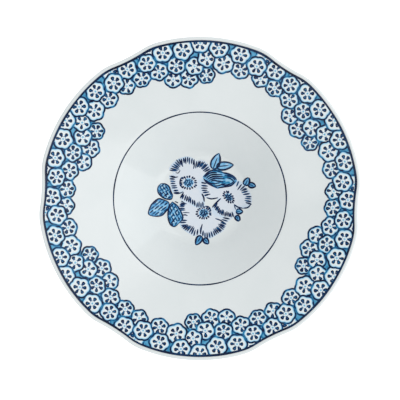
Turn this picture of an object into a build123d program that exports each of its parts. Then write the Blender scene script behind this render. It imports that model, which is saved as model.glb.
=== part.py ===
from build123d import *
import os
from math import asin, cos, degrees, radians, sin, tan

# A rimmed porcelain serving bowl with a scalloped lip. Millimetres, +Z up, the axis of the bowl is Z,
# and the origin is the middle of the plane that the foot ring stands on.

# --- Driving dimensions: the shape of the bowl ---
lip_radius = 152.5        # to the outside of the six lobes
lobes = 6                 # lobes round the lip, with a notch between each two
notch_turn = -3.0         # degrees from +X to the first notch
notch_depth = 3.1
notch_half_angle = 11.8   # degrees from the middle of a notch to where the lobe is round again
notch_shoulder = 51.0     # radius of the shoulder on each side of a notch
floor_radius = 34.0       # flat middle of the well
floor_bend = 22.0         # radius of the bend from the floor into the wall
wall_slope = 38.0         # degrees
verge_radius = 82.0       # where the wall turns over into the rim
verge_bend = 16.0
rim_slope = 14.5          # degrees
wall = 4.8                # everywhere, glaze included
lip_round = 1.9           # rounding of the lip, above and below
foot_radius = 46.0        # middle of the foot ring
foot_width = 5.0
foot_height = 7.0         # clear height under the floor
foot_taper = 0.8          # how much narrower the ring is at its standing edge, on each side
foot_round = 0.9

# --- Driving dimensions: glaze and print ---
glaze = 0.3
bare_band = 1.4           # height of the unglazed standing edge
ink = 0.2                 # printed film on the glaze
rim_line_inset = 4.4      # from the lip to the middle of the line
rim_line_width = 1.2
verge_line_width = 1.2
border_width = 29.5       # closed part of the border, from the rim line inwards
blossom_radius = 9.4

# Blossoms that reach inwards past the closed part of the border: degrees clockwise from the middle
# of a lobe, and distance in from the lip.
inner_blossoms = ((-26, 27), (-16, 36.5), (-8, 38.5), (0, 36), (14.5, 26.5), (23, 27))

# The spray in the well. Each flower, the bud and each large leaf is a closed curve through these points.
flowers = (
    ((-25, 5), (-28, 10.5), (-28.3, 16), (-29.6, 21.8), (-25.5, 24.5), (-29.8, 28.5), (-25.5, 34.5),
     (-19, 39), (-12, 40.5), (-6.3, 38.8), (-3.8, 36.3), (1.5, 37.3), (7, 34), (10.6, 28.6), (7.5, 22),
     (2.5, 17.5), (0.7, 13), (0.8, 8), (2.2, 4), (3.8, 0.3), (4.6, -3.5), (3.4, -8.2), (-2.5, -8.8),
     (-9, -5.6), (-15, -3.6), (-19.2, 0), (-17, 4.4)),
    ((-14, -1), (-17.8, -2.6), (-20.4, -7), (-20.4, -12), (-18.5, -17.5), (-19.2, -23), (-18.6, -27.2),
     (-14.5, -30.9), (-9, -34.8), (-4, -36.2), (1.2, -35), (5.2, -37.4), (9.8, -38.4), (15.2, -35.4),
     (21.5, -31.8), (25.2, -27), (25.6, -23.8), (29.6, -20), (25, -18.4), (20, -16), (15, -12.4),
     (11.2, -9), (6, -6.6), (-3, -3.5)),
    ((-1, 14), (-1, 8), (1.2, 3.2), (6.5, 0.4), (12, -0.6), (17, -0.4), (14.6, -5), (11.6, -8.4),
     (14, -13.4), (19, -18), (26, -20.8), (32.6, -18), (35.6, -13.4), (36.5, -9.6), (41.5, -9.8),
     (47, -8.2), (49.7, -3), (49.3, 3), (46.8, 8.2), (43, 12.6), (38.4, 16.9), (32, 17), (20, 17.5),
     (8, 19), (1, 17)),
)
bud = ((2.7, 20.8), (5, 23.7), (9, 26.5), (14.5, 27.6), (19.5, 26.8), (24.5, 24.5), (29.3, 23.2),
       (33.3, 20.9), (35.6, 18), (34.5, 15.2), (31, 12.4), (27, 11.1), (22, 10.8), (17.2, 9.5),
       (13.2, 11), (9.7, 13.5), (6, 16), (3.7, 18.4))
broad_leaves = (
    ((-26, 3.2), (-27.7, -0.6), (-33.5, 0), (-37.8, 2.8), (-40.3, 6.5), (-40.2, 11), (-37.5, 14.4),
     (-33, 13.8), (-29.8, 11.6), (-28.2, 7.4)),
    ((-30.3, -3), (-35, -1.4), (-39.5, -0.2), (-44.2, -3.4), (-47.6, -8), (-49.4, -14.4),
     (-46.8, -16.6), (-41, -17), (-36.4, -16), (-33, -12.6), (-30.3, -9), (-29.6, -5.6)),
    ((-26.4, -3.2), (-22.2, -6.6), (-19.4, -10.5), (-17.2, -15), (-16.4, -18.4), (-17.8, -21.4),
     (-20.6, -24), (-24.2, -26.8), (-28, -25.2), (-30.2, -20), (-30.6, -14), (-29.8, -9), (-28.4, -5.6)),
)
# Narrow leaves and the leaflets on the stems: stalk end, tip and width.
narrow_leaves = (((12.6, 28.4), (18.3, 43.4), 8.2), ((15.8, 30.6), (32.3, 32.4), 7.4))
leaflets = (((43.4, 12.5), (46.8, 20.2), 5.6), ((46.4, 13.6), (53.6, 11.8), 4.8),
            ((34.8, -12.2), (41.4, -12.6), 4.6), ((34.6, -16.4), (38.2, -21.5), 4.4),
            ((1.3, -35.9), (-3.8, -44.6), 5.6), ((3.7, -38.2), (8.4, -43.6), 4.6))

leaf_belly = 0.4          # where a leaf is widest, as a share of the way from stalk to tip
tip_lean = 1.5            # how steeply its edges run in to the tip

# --- What follows from them ---
floor_top = foot_height + wall
section_reach = lip_radius + 8
rim_line_radius = lip_radius - rim_line_inset
shoulder_centre = lip_radius - notch_shoulder
notch_bottom = lip_radius - notch_depth
notch_hollow = (
    notch_shoulder**2 - shoulder_centre**2 - notch_bottom**2
    + 2 * shoulder_centre * notch_bottom * cos(radians(notch_half_angle))
) / (2 * (notch_bottom - shoulder_centre * cos(radians(notch_half_angle)) - notch_shoulder))
hollow_centre = notch_bottom + notch_hollow


def surface(under):
    """A line that lies `under` below the eating surface, from the axis out past the lip."""
    def corner(point, slope_in, slope_out):
        middle = radians((slope_in + slope_out) / 2)
        reach = under / cos(radians((slope_out - slope_in) / 2))
        return (point[0] + reach * sin(middle), point[1] - reach * cos(middle))

    floor_corner = (floor_radius + floor_bend * tan(radians(wall_slope / 2)), floor_top)
    verge_height = floor_top + (verge_radius - floor_corner[0]) * tan(radians(wall_slope))
    rim_rise = (section_reach - verge_radius) * tan(radians(rim_slope))
    points = [
        (0, floor_top - under),
        corner(floor_corner, 0, wall_slope),
        corner((verge_radius, verge_height), wall_slope, rim_slope),
        (section_reach, verge_height + rim_rise - under / cos(radians(rim_slope))),
    ]
    return FilletPolyline(*points, radius=[floor_bend + under, verge_bend - under])


def between(upper, lower):
    """Half section between two such lines."""
    with BuildSketch(Plane.XZ) as section:
        with BuildLine():
            top = surface(upper)
            bottom = surface(lower)
            Line(top @ 0, bottom @ 0)
            Line(top @ 1, bottom @ 1)
        make_face()
    return section.sketch


def beyond(under, height):
    """Half section from such a line to a level that is clear of the bowl."""
    with BuildSketch(Plane.XZ) as section:
        with BuildLine():
            edge = surface(under)
            Polyline(edge @ 0, (0, height), (section_reach, height), edge @ 1)
        make_face()
    return section.sketch


def foot_section(coat, bottom, top):
    """Half section of the foot ring with a coat of glaze on both sides."""
    half = foot_width / 2 + coat
    narrow = foot_taper * (1 - bottom / foot_height)
    level = top / foot_height
    with BuildSketch(Plane.XZ) as section:
        with BuildLine():
            Polyline(
                (foot_radius - half + narrow, bottom),
                (foot_radius + half - narrow, bottom),
                (foot_radius + half - foot_taper * (1 - level), top),
                (foot_radius - half + foot_taper * (1 - level), top),
                close=True,
            )
        make_face()
    return section.sketch


def lip_face(inset):
    """The plan of the bowl, drawn in by `inset`: lobes, shoulders and notches are tangent arcs."""
    lean = degrees(asin(shoulder_centre * sin(radians(notch_half_angle)) / (notch_shoulder + notch_hollow)))
    with BuildSketch() as plan:
        with BuildLine():
            for number in range(lobes):
                turn = notch_turn + number * 360 / lobes
                lobe_start = turn + notch_half_angle
                CenterArc((0, 0), lip_radius - inset, lobe_start, 360 / lobes - 2 * notch_half_angle)
                centre = Vector(hollow_centre, 0).rotate(Axis.Z, turn)
                CenterArc(centre, notch_hollow + inset, turn + 180 - lean, 2 * lean)
                for side in (-1, 1):
                    outwards = turn + side * notch_half_angle
                    centre = Vector(shoulder_centre, 0).rotate(Axis.Z, outwards)
                    inwards = turn - side * lean
                    CenterArc(centre, notch_shoulder - inset, min(outwards, inwards), abs(outwards - inwards))
        make_face()
    return plan.sketch


def leaf_face(stalk, tip, width):
    """A leaf with a pointed tip and a rounded stalk end."""
    start = Vector(*stalk)
    end = Vector(*tip)
    along = end - start
    across = along.rotate(Axis.Z, 90).normalized() * width / 2
    with BuildSketch() as leaf:
        with BuildLine():
            for side in (across, -across):
                Spline(start, start + along * leaf_belly + side, end, tangents=(side, along - side * tip_lean))
        make_face()
    return leaf.sketch


def closed_face(points):
    """The inside of a smooth closed curve through points."""
    with BuildSketch() as shape:
        with BuildLine():
            Spline(*points, periodic=True)
        make_face()
    return shape.sketch


def uncovered(outline, in_front):
    """What is left of a print where the prints in front of it are cut away."""
    with BuildSketch() as rest:
        add(outline)
        for other in in_front:
            add(other, mode=Mode.SUBTRACT)
    return rest.sketch


def border_face(number):
    """One repeat of the border, with a sixth of the round: from the rim line in to the blossoms, and never
    as far as the verge line."""
    middle = notch_turn + (number - 0.5) * 360 / lobes
    inner = rim_line_radius - border_width
    reach = section_reach / cos(radians(180 / lobes))
    with BuildSketch() as border:
        add(lip_face(rim_line_inset + rim_line_width / 2))
        Circle(inner, mode=Mode.SUBTRACT)
        for turn, inset in inner_blossoms:
            centre = Vector(lip_radius - inset, 0).rotate(Axis.Z, middle - turn)
            with Locations(centre):
                Circle(blossom_radius)
        Circle(verge_radius + verge_line_width, mode=Mode.SUBTRACT)
        with BuildLine():
            first = Vector(reach, 0).rotate(Axis.Z, middle - 180 / lobes)
            last = Vector(reach, 0).rotate(Axis.Z, middle + 180 / lobes)
            Polyline((0, 0), first, last, close=True)
        make_face(mode=Mode.INTERSECT)
    return border.sketch


def lip_edges(part):
    """The two edges round the lip, above and below, without the short ones that cross it."""
    limit = notch_bottom - wall
    return [
        edge for edge in part.edges()
        if Vector((edge @ 0.5).X, (edge @ 0.5).Y).length > limit and abs((edge % 0.5).Z) < 0.5
    ]


os.makedirs("parts", exist_ok=True)

# The whole bowl as glazed, and the fired clay inside the glaze: both stay out of the model themselves.
with BuildPart() as glazed_shape:
    revolve(between(0, wall), axis=Axis.Z)
    extrude(lip_face(0), amount=section_reach, mode=Mode.INTERSECT)
    fillet(lip_edges(glazed_shape.part), lip_round)

# Bowl body: floor, wall and rim in one, as it leaves the mould.
with BuildPart() as bowl_body:
    revolve(between(glaze, wall - glaze), axis=Axis.Z)
    extrude(lip_face(glaze), amount=section_reach, mode=Mode.INTERSECT)
    fillet(lip_edges(bowl_body.part), lip_round - glaze)
bowl_body.part.label = "bowl_body"
export_step(bowl_body.part, "parts/bowl_body.step")

# Foot ring: luted under the body, its standing edge wiped bare of glaze.
with BuildPart() as foot_ring:
    revolve(foot_section(0, 0, section_reach / 2), axis=Axis.Z)
    fillet(foot_ring.edges().group_by(Axis.Z)[0], foot_round)
    revolve(beyond(wall - glaze, section_reach), axis=Axis.Z, mode=Mode.SUBTRACT)
foot_ring.part.label = "foot_ring"
export_step(foot_ring.part, "parts/foot_ring.step")

# The coat of glaze on the face, from the middle of the lip inwards.
with BuildPart() as glaze_face:
    add(glazed_shape.part)
    revolve(between(wall / 2, wall * 2), axis=Axis.Z, mode=Mode.SUBTRACT)
    add(bowl_body.part, mode=Mode.SUBTRACT)
glaze_face.part.label = "glaze_face"
export_step(glaze_face.part, "parts/glaze_face.step")

# The coat of glaze on the back, over the sides of the foot ring down to its bare band: the ring parts it
# into the coat outside and the one in the recess.
for name, side in (("glaze_back", Mode.SUBTRACT), ("glaze_recess", Mode.INTERSECT)):
    with BuildPart() as back_coat:
        add(glazed_shape.part)
        revolve(foot_section(glaze, bare_band, section_reach / 2), axis=Axis.Z)
        revolve(beyond(wall / 2, section_reach), axis=Axis.Z, mode=Mode.SUBTRACT)
        add(bowl_body.part, mode=Mode.SUBTRACT)
        revolve(foot_section(0, 0, section_reach / 2), axis=Axis.Z, mode=Mode.SUBTRACT)
        Cylinder(foot_radius, section_reach, mode=side)
    back_coat.part.label = name
    export_step(back_coat.part, f"parts/{name}.step")

# Dark line just inside the lip, following its notches.
with BuildPart() as rim_line:
    revolve(between(-ink, 0), axis=Axis.Z)
    extrude(lip_face(rim_line_inset - rim_line_width / 2), amount=section_reach, mode=Mode.INTERSECT)
    extrude(lip_face(rim_line_inset + rim_line_width / 2), amount=section_reach, mode=Mode.SUBTRACT)
rim_line.part.label = "rim_line"
export_step(rim_line.part, "parts/rim_line.step")

# Round line on the turn from the wall into the rim.
with BuildPart() as verge_line:
    revolve(between(-ink, 0), axis=Axis.Z)
    with BuildSketch():
        Circle(verge_radius + verge_line_width / 2)
        Circle(verge_radius - verge_line_width / 2, mode=Mode.SUBTRACT)
    extrude(amount=section_reach, mode=Mode.INTERSECT)
verge_line.part.label = "verge_line"
export_step(verge_line.part, "parts/verge_line.step")

# Every other print is a film on the face, cut to its own outline. In the spray, a print that comes
# later in this order lies behind the ones before it, and is cut away where they cover it.
prints = {"bud_print": closed_face(bud), "leaf_print_3": closed_face(broad_leaves[2])}
for number, flower in enumerate(flowers, 1):
    prints[f"flower_print_{number}"] = closed_face(flower)
for number, leaf in enumerate(broad_leaves[:2], 1):
    prints[f"leaf_print_{number}"] = closed_face(leaf)
for number, leaf in enumerate(narrow_leaves, 4):
    prints[f"leaf_print_{number}"] = leaf_face(*leaf)
for number, leaflet in enumerate(leaflets, 1):
    prints[f"leaflet_print_{number}"] = leaf_face(*leaflet)
names = list(prints)
for name in names:
    prints[name] = uncovered(prints[name], [prints[other] for other in names[:names.index(name)]])
for number in range(1, lobes + 1):
    prints[f"border_print_{number}"] = border_face(number)

for name, outline in prints.items():
    with BuildPart() as print_film:
        revolve(between(-ink, 0), axis=Axis.Z)
        extrude(outline, amount=section_reach, mode=Mode.INTERSECT)
    print_film.part.label = name
    export_step(print_film.part, f"parts/{name}.step")
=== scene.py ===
import random
from math import asin, atan2, cos, degrees, hypot, pi, radians, sin, sqrt, tan

import bpy
from mathutils import Matrix, Vector


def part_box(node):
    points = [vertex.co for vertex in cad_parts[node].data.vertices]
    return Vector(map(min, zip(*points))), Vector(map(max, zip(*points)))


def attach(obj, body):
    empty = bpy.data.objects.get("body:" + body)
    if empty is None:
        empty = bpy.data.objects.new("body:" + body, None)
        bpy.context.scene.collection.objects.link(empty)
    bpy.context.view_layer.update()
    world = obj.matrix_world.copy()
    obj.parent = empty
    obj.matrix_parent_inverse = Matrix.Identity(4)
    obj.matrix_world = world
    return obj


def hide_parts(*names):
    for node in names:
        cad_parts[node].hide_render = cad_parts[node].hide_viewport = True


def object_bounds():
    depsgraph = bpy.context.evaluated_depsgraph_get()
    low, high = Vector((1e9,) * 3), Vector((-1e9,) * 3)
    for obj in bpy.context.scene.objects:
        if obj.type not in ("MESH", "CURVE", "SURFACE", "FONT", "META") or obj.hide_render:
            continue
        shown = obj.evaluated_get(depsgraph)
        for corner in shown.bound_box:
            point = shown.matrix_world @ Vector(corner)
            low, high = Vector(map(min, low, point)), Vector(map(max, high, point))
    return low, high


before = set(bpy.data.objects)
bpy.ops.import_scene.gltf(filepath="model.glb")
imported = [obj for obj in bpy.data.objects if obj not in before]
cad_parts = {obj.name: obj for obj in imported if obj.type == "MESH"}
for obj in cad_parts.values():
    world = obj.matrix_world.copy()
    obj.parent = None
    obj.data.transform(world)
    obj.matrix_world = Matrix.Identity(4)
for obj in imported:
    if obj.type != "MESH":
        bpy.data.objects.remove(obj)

cad_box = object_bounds()

# A rimmed porcelain serving bowl, glazed all over but for the standing edge of its foot, and printed in
# underglaze blue: a border of plum blossoms on the rim and a spray of flowers in the well. The bowl's own
# sizes are in millimetres and the meshes are in metres.

MM = 0.001

# --- Sizes of the bowl, read off the frame or kept with it ---
lip_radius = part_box("glaze_face")[1].y / MM
banded_width = 1.2       # of the line round the verge
verge_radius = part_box("verge_line")[1].y / MM - banded_width / 2
foot_radius = 46.0
floor_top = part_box("flower_print_2")[0].z / MM
lobes = 6
notch_turn = -3.0        # degrees round the axis of the first notch
notch_depth = 3.1
notch_half_angle = 11.8  # degrees from the middle of a notch to where the outline is round again
notch_shoulder = 51.0    # radius of the outline where it turns into a notch
notch_pull = 30.0        # width of the rim that follows the notches
floor_radius = 34.0
floor_bend = 22.0
wall_slope = 38.0
verge_bend = 16.0
rim_slope = 14.5
wall = 4.8
glaze = 0.3
lip_round = 1.9
foot_width = 5.0
foot_height = 7.0
foot_taper = 0.8
foot_round = 0.9
bare_band = 1.4          # height of the unglazed edge of the foot
glaze_run = 2.6          # reach of the soft corner where the glaze runs from the foot into the back
seat_half = 1.2          # from the middle of the foot ring to the vertices of its seat under the body
turns = 576              # steps round the axis in everything turned on it
floor_steps = 8          # steps along the floor, its bend, the bend of the verge, the rim and half the lip
floor_bend_steps = 10
verge_bend_steps = 7
rim_steps = 14
lip_steps = 8
flat_end = 15.0          # from the corner of floor and wall in to the last vertex on the flat floor
crease_angle = 35        # degrees: sharper edges of a turned piece stay crisp

# --- What follows from them ---
shoulder_centre = lip_radius - notch_shoulder
notch_bottom = lip_radius - notch_depth
notch_hollow = (
    notch_shoulder**2 - shoulder_centre**2 - notch_bottom**2
    + 2 * shoulder_centre * notch_bottom * cos(radians(notch_half_angle))
) / (2 * (notch_bottom - shoulder_centre * cos(radians(notch_half_angle)) - notch_shoulder))
hollow_centre = notch_bottom + notch_hollow


# --- Small tools ---
def take(piece):
    """Makes one object the only selected one, and the active one."""
    bpy.ops.object.select_all(action="DESELECT")
    piece.select_set(True)
    bpy.context.view_layer.objects.active = piece


def in_edit(piece, work):
    """Runs a few mesh operators on all of one piece."""
    take(piece)
    bpy.ops.object.mode_set(mode="EDIT")
    bpy.ops.mesh.select_mode(type="VERT")
    bpy.ops.mesh.select_all(action="SELECT")
    work()
    bpy.ops.object.mode_set(mode="OBJECT")


def named(name, material):
    """Names the active object and gives it its finish."""
    piece = bpy.context.object
    piece.name = name
    piece.data.name = name
    piece.data.materials.clear()
    piece.data.materials.append(material)
    return piece


def apply_modifier(piece, kind, **settings):
    take(piece)
    modifier = piece.modifiers.new(kind.lower(), kind)
    for key, value in settings.items():
        setattr(modifier, key, value)
    bpy.ops.object.modifier_apply(modifier=modifier.name)


def joined(parts, name):
    """Joins separate closed shapes into one piece."""
    bpy.ops.object.select_all(action="DESELECT")
    for part in parts:
        part.select_set(True)
    bpy.context.view_layer.objects.active = parts[0]
    bpy.ops.object.join()
    piece = bpy.context.object
    piece.name = name
    piece.data.name = name
    return piece


def turned_copy(piece, name, angle):
    """A copy with its own mesh, turned about the bowl's axis by an angle in degrees."""
    copy = piece.copy()
    copy.data = piece.data.copy()
    copy.name = name
    copy.data.name = name
    copy.data.transform(Matrix.Rotation(radians(angle), 4, "Z"))
    bpy.context.scene.collection.objects.link(copy)
    return copy


# --- The shape of the bowl ---
def face_points(under):
    """The eating surface from the middle to past the lip, or a surface that lies `under` below it."""
    def corner(radius, height, slope_in, slope_out):
        middle = radians((slope_in + slope_out) / 2)
        reach = under / cos(radians((slope_out - slope_in) / 2))
        return radius + reach * sin(middle), height - reach * cos(middle)

    floor_corner = floor_radius + floor_bend * tan(radians(wall_slope / 2))
    verge_height = floor_top + (verge_radius - floor_corner) * tan(radians(wall_slope))
    rise = (lip_radius - verge_radius) * tan(radians(rim_slope)) - under / cos(radians(rim_slope))
    low = corner(floor_corner, floor_top, 0, wall_slope)
    high = corner(verge_radius, verge_height, wall_slope, rim_slope)
    end = (lip_radius, verge_height + rise)
    flat = low[0] - flat_end
    points = [(flat * step / floor_steps, floor_top - under) for step in range(floor_steps + 1)]
    points += bend(low, 0, wall_slope, floor_bend + under, floor_bend_steps)
    points += bend(high, wall_slope, rim_slope, verge_bend - under, verge_bend_steps)
    start = points[-1]
    for step in range(1, rim_steps + 1):
        points.append((start[0] + (end[0] - start[0]) * step / rim_steps,
                       start[1] + (end[1] - start[1]) * step / rim_steps))
    return points


def bend(corner, slope_in, slope_out, radius, steps):
    """Points of an arc that rounds a corner between two straight slopes."""
    reach = radius * tan(radians(abs(slope_out - slope_in) / 2))
    side = 1 if slope_out > slope_in else -1
    start = Vector(corner) - reach * Vector((cos(radians(slope_in)), sin(radians(slope_in))))
    centre = start + side * radius * Vector((-sin(radians(slope_in)), cos(radians(slope_in))))
    points = []
    for step in range(steps + 1):
        slope = radians(slope_in + (slope_out - slope_in) * step / steps)
        points.append(tuple(centre + side * radius * Vector((sin(slope), -cos(slope)))))
    return points


def lip_points(inset):
    """The rounded lip, from the face over the edge to the back, drawn in by `inset` for an inner skin."""
    radius = lip_round - inset
    centre = lip_radius - inset - radius
    upper_half = (inset, rim_slope, -90, -1)
    lower_half = (wall - inset, -90, rim_slope - 180, 1)
    points = []
    for under, first, last, side in (upper_half, lower_half):
        reach, height = face_points(under)[-1]
        height += (centre - reach) * tan(radians(rim_slope)) + side * radius / cos(radians(rim_slope))
        for step in range(lip_steps + 1):
            slope = radians(first + (last - first) * step / lip_steps)
            points.append((centre - radius * sin(slope), height + radius * cos(slope)))
    return points


def lip_reach(angle, inset=0.0):
    """How far the scalloped outline, drawn in by `inset`, lies from the axis at an angle in degrees."""
    pitch = 360 / lobes
    off = radians(abs((angle - notch_turn + pitch / 2) % pitch - pitch / 2))
    half = radians(notch_half_angle)
    if off >= half:
        return lip_radius - inset
    lean = asin(shoulder_centre * sin(half) / (notch_shoulder + notch_hollow))
    shoulder = notch_shoulder - inset
    turn = atan2(shoulder_centre * sin(half) - shoulder * sin(lean),
                 shoulder_centre * cos(half) + shoulder * cos(lean))
    if off < turn:
        hollow = notch_hollow + inset
        return hollow_centre * cos(off) - sqrt(hollow**2 - (hollow_centre * sin(off)) ** 2)
    along = shoulder_centre * cos(half - off)
    return along + sqrt(shoulder**2 - shoulder_centre**2 + along**2)


def scallop(piece):
    """Draws the lip of a turned piece in at the notches. The rim keeps its slope, so it stays on its cone."""
    start = lip_radius - notch_pull
    for vertex in piece.data.vertices:
        x, y, z = vertex.co / MM
        radius = hypot(x, y)
        if radius > start:
            share = (radius - start) / (lip_radius - start)
            shift = share**2 * (lip_reach(degrees(atan2(y, x))) - lip_radius)
            scale = (radius + shift) / radius
            vertex.co = Vector((x * scale, y * scale, z + shift * tan(radians(rim_slope)))) * MM


def lathe(name, section, material):
    """Spins a closed half section, in millimetres, round the axis into a closed piece."""
    bpy.ops.mesh.primitive_circle_add(vertices=len(section), radius=lip_radius * MM)
    piece = named(name, material)
    for vertex, (radius, height) in zip(piece.data.vertices, section):
        vertex.co = (radius * MM, 0, height * MM)
    on_axis = {index for index, point in enumerate(section) if point[0] < 1e-6}
    for edge in piece.data.edges:
        edge.select = set(edge.vertices) <= on_axis
    for vertex in piece.data.vertices:
        vertex.select = False
    take(piece)
    if any(edge.select for edge in piece.data.edges):
        bpy.ops.object.mode_set(mode="EDIT")
        bpy.ops.mesh.select_mode(type="EDGE")
        bpy.ops.mesh.delete(type="EDGE_FACE")
        bpy.ops.object.mode_set(mode="OBJECT")

    def work():
        bpy.ops.mesh.spin(steps=turns, angle=2 * pi, center=(0, 0, 0), axis=(0, 0, 1))
        bpy.ops.mesh.select_all(action="SELECT")
        bpy.ops.mesh.remove_doubles(threshold=1e-6)
        bpy.ops.mesh.normals_make_consistent(inside=False)

    in_edit(piece, work)
    bpy.ops.object.shade_smooth_by_angle(angle=radians(crease_angle))
    return piece


# --- Finishes ---
def tone(code):
    """An sRGB hex colour as linear red, green, blue and alpha."""
    shares = [int(code[place:place + 2], 16) / 255 for place in (1, 3, 5)]
    linear = [share / 12.92 if share <= 0.04045 else ((share + 0.055) / 1.055) ** 2.4 for share in shares]
    return linear + [1.0]


def finish(name):
    """A material with an empty node tree."""
    material = bpy.data.materials.new(name)
    material.use_nodes = True
    material.node_tree.nodes.clear()
    return material


def add_node(material, kind, settings=None, values=None, links=None, stops=None):
    """Adds a node, with its settings, socket values, links from other sockets, and colour ramp stops."""
    made = material.node_tree.nodes.new(kind)
    for key, value in (settings or {}).items():
        setattr(made, key, value)
    for socket, value in (values or {}).items():
        made.inputs[socket].default_value = value
    for socket, source in (links or {}).items():
        material.node_tree.links.new(source, made.inputs[socket])
    for number, (place, colour) in enumerate(stops or ()):
        ramp = made.color_ramp.elements
        stop = ramp[number] if number < 2 else ramp.new(place)
        stop.position = place
        stop.color = tone(colour)
    return made


def object_place(material):
    return add_node(material, "ShaderNodeTexCoord").outputs["Object"]


def noise(material, place, grain, **values):
    """Noise with grains of a real size, in metres."""
    return add_node(material, "ShaderNodeTexNoise", values={"Scale": 1 / grain, **values},
                    links={"Vector": place})


def ranged(material, source, low, high, **values):
    """Spreads a noise over a range of values."""
    return add_node(material, "ShaderNodeMapRange", values={**values, "To Min": low, "To Max": high},
                    links={"Value": source.outputs["Fac"]})


def relief_of(material, source, strength, depth):
    """Small bumps, `depth` metres high."""
    return add_node(material, "ShaderNodeBump", values={"Strength": strength, "Distance": depth},
                    links={"Height": source.outputs["Fac"]})


def surfaced(material, colour, roughness, relief, **values):
    """Joins a colour, a roughness and a relief in the surface of a material."""
    shader = add_node(material, "ShaderNodeBsdfPrincipled", values=values,
                      links={"Base Color": colour, "Roughness": roughness.outputs["Result"],
                             "Normal": relief.outputs["Normal"]})
    add_node(material, "ShaderNodeOutputMaterial", links={"Surface": shader.outputs["BSDF"]})
    return material


def glazed_porcelain():
    """Clear feldspar glaze, dipped and fired on white porcelain: a wet gloss, a cool white that is never
    quite even, and the faint waviness of a glaze that has run."""
    material = finish("glazed_porcelain")
    place = object_place(material)
    pooling = noise(material, place, 0.045, Detail=3.0, Roughness=0.5)
    white = add_node(material, "ShaderNodeValToRGB", links={"Fac": pooling.outputs["Fac"]},
                     stops=((0.3, "#E4EBEC"), (0.7, "#E9EFF0")))
    specks = noise(material, place, 0.0006, Detail=1.0)
    iron = add_node(material, "ShaderNodeValToRGB", links={"Fac": specks.outputs["Fac"]},
                    stops=((0.80, "#FFFFFF"), (0.86, "#D9D6CF")))
    body = add_node(material, "ShaderNodeMix", settings={"data_type": "RGBA", "blend_type": "MULTIPLY"},
                    values={"Factor": 1.0}, links={"A": white.outputs["Color"], "B": iron.outputs["Color"]})
    gloss = ranged(material, pooling, 0.07, 0.13)
    relief = relief_of(material, noise(material, place, 0.009, Detail=1.5), 0.25, 0.00004)
    return surfaced(material, body.outputs["Result"], gloss, relief, IOR=1.52)


def bare_porcelain():
    """Fired porcelain without glaze, wiped with a wet sponge and ground flat: a dry, fine-grained warm white
    that has picked up a little grey from shelves and stacks."""
    material = finish("bare_porcelain")
    place = object_place(material)
    grain = noise(material, place, 0.0005, Detail=4.0)
    scuffs = noise(material, place, 0.006, Detail=4.0, Roughness=0.7)
    worn = add_node(material, "ShaderNodeValToRGB", links={"Fac": scuffs.outputs["Fac"]},
                    stops=((0.35, "#C9C3B8"), (0.60, "#E2DDD3")))
    speckled = add_node(material, "ShaderNodeMix", settings={"data_type": "RGBA", "blend_type": "MULTIPLY"},
                        values={"Factor": 0.12},
                        links={"A": worn.outputs["Color"], "B": grain.outputs["Color"]})
    dryness = ranged(material, scuffs, 0.60, 0.85)
    relief = relief_of(material, grain, 0.5, 0.00005)
    return surfaced(material, speckled.outputs["Result"], dryness, relief, IOR=1.5)


def cobalt_print(name, flow, stops):
    """Cobalt ink printed under the glaze. Each mark carries how much ink it holds, from none to full, and
    the ink has flowed a little in the firing, so lines break from navy to a brighter blue along their way."""
    material = finish(name)
    place = object_place(material)
    held = add_node(material, "ShaderNodeAttribute", settings={"attribute_name": "ink"})
    runs = noise(material, place, 0.0035, Detail=3.0, Roughness=0.6)
    strength = ranged(material, runs, 1 - flow, 1 + flow / 2, **{"From Min": 0.25, "From Max": 0.75})
    ink = add_node(material, "ShaderNodeMath", settings={"operation": "MULTIPLY", "use_clamp": True},
                   links={0: held.outputs["Fac"], 1: strength.outputs["Result"]})
    colour = add_node(material, "ShaderNodeValToRGB", links={"Fac": ink.outputs["Value"]}, stops=stops)
    gloss = ranged(material, runs, 0.08, 0.14)
    relief = relief_of(material, noise(material, place, 0.009, Detail=1.5), 0.25, 0.00004)
    under_glaze = {"IOR": 1.52, "Specular IOR Level": 0.22}
    return surfaced(material, colour.outputs["Color"], gloss, relief, **under_glaze)


glaze_finish = glazed_porcelain()
bare_finish = bare_porcelain()
blue_finish = cobalt_print("cobalt_print", 0.32, (
    (0.0, "#E9F2F5"), (1.0, "#000C2C"), (0.12, "#C8E7F7"), (0.3, "#74C0E4"), (0.5, "#2080B2"),
    (0.68, "#064474"), (0.85, "#001A46")))
wash_finish = cobalt_print("cobalt_wash", 0.45, (
    (0.0, "#E6EAF0"), (1.0, "#0E5A9C"), (0.15, "#D4E3F2"), (0.4, "#8CC8F0"), (0.7, "#3E94CE")))
line_finish = cobalt_print("banded_cobalt", 0.22, (
    (0.0, "#E9F2F5"), (1.0, "#00102C"), (0.3, "#7FB4D2"), (0.6, "#1F6690"), (0.8, "#062C54")))


# --- Body, glaze and foot ---
def foot_half(level):
    """Half the foot ring's width at a level."""
    return foot_width / 2 - foot_taper * (1 - level / foot_height)


def underside(radius, under):
    """Height of the back at a radius near the foot, `under` below the eating surface."""
    centre = floor_top + floor_bend
    reach = floor_bend + under
    if radius <= floor_radius:
        return floor_top - under
    return centre - sqrt(reach**2 - (radius - floor_radius) ** 2)


def run_in(radius, side, steps=6):
    """The glaze where the side of the foot runs into the back, from the foot outwards."""
    edge = radius + side * (foot_half(foot_height) + glaze)
    away = edge + side * glaze_run
    low = underside(edge, wall) - glaze_run
    high = underside(away, wall)
    middle = underside(edge, wall)
    points = []
    for step in range(steps + 1):
        share = step / steps
        first, last = (1 - share) ** 2, share**2
        between = 2 * share * (1 - share)
        points.append((first * edge + between * edge + last * away,
                       first * low + between * middle + last * high))
    return points


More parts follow.
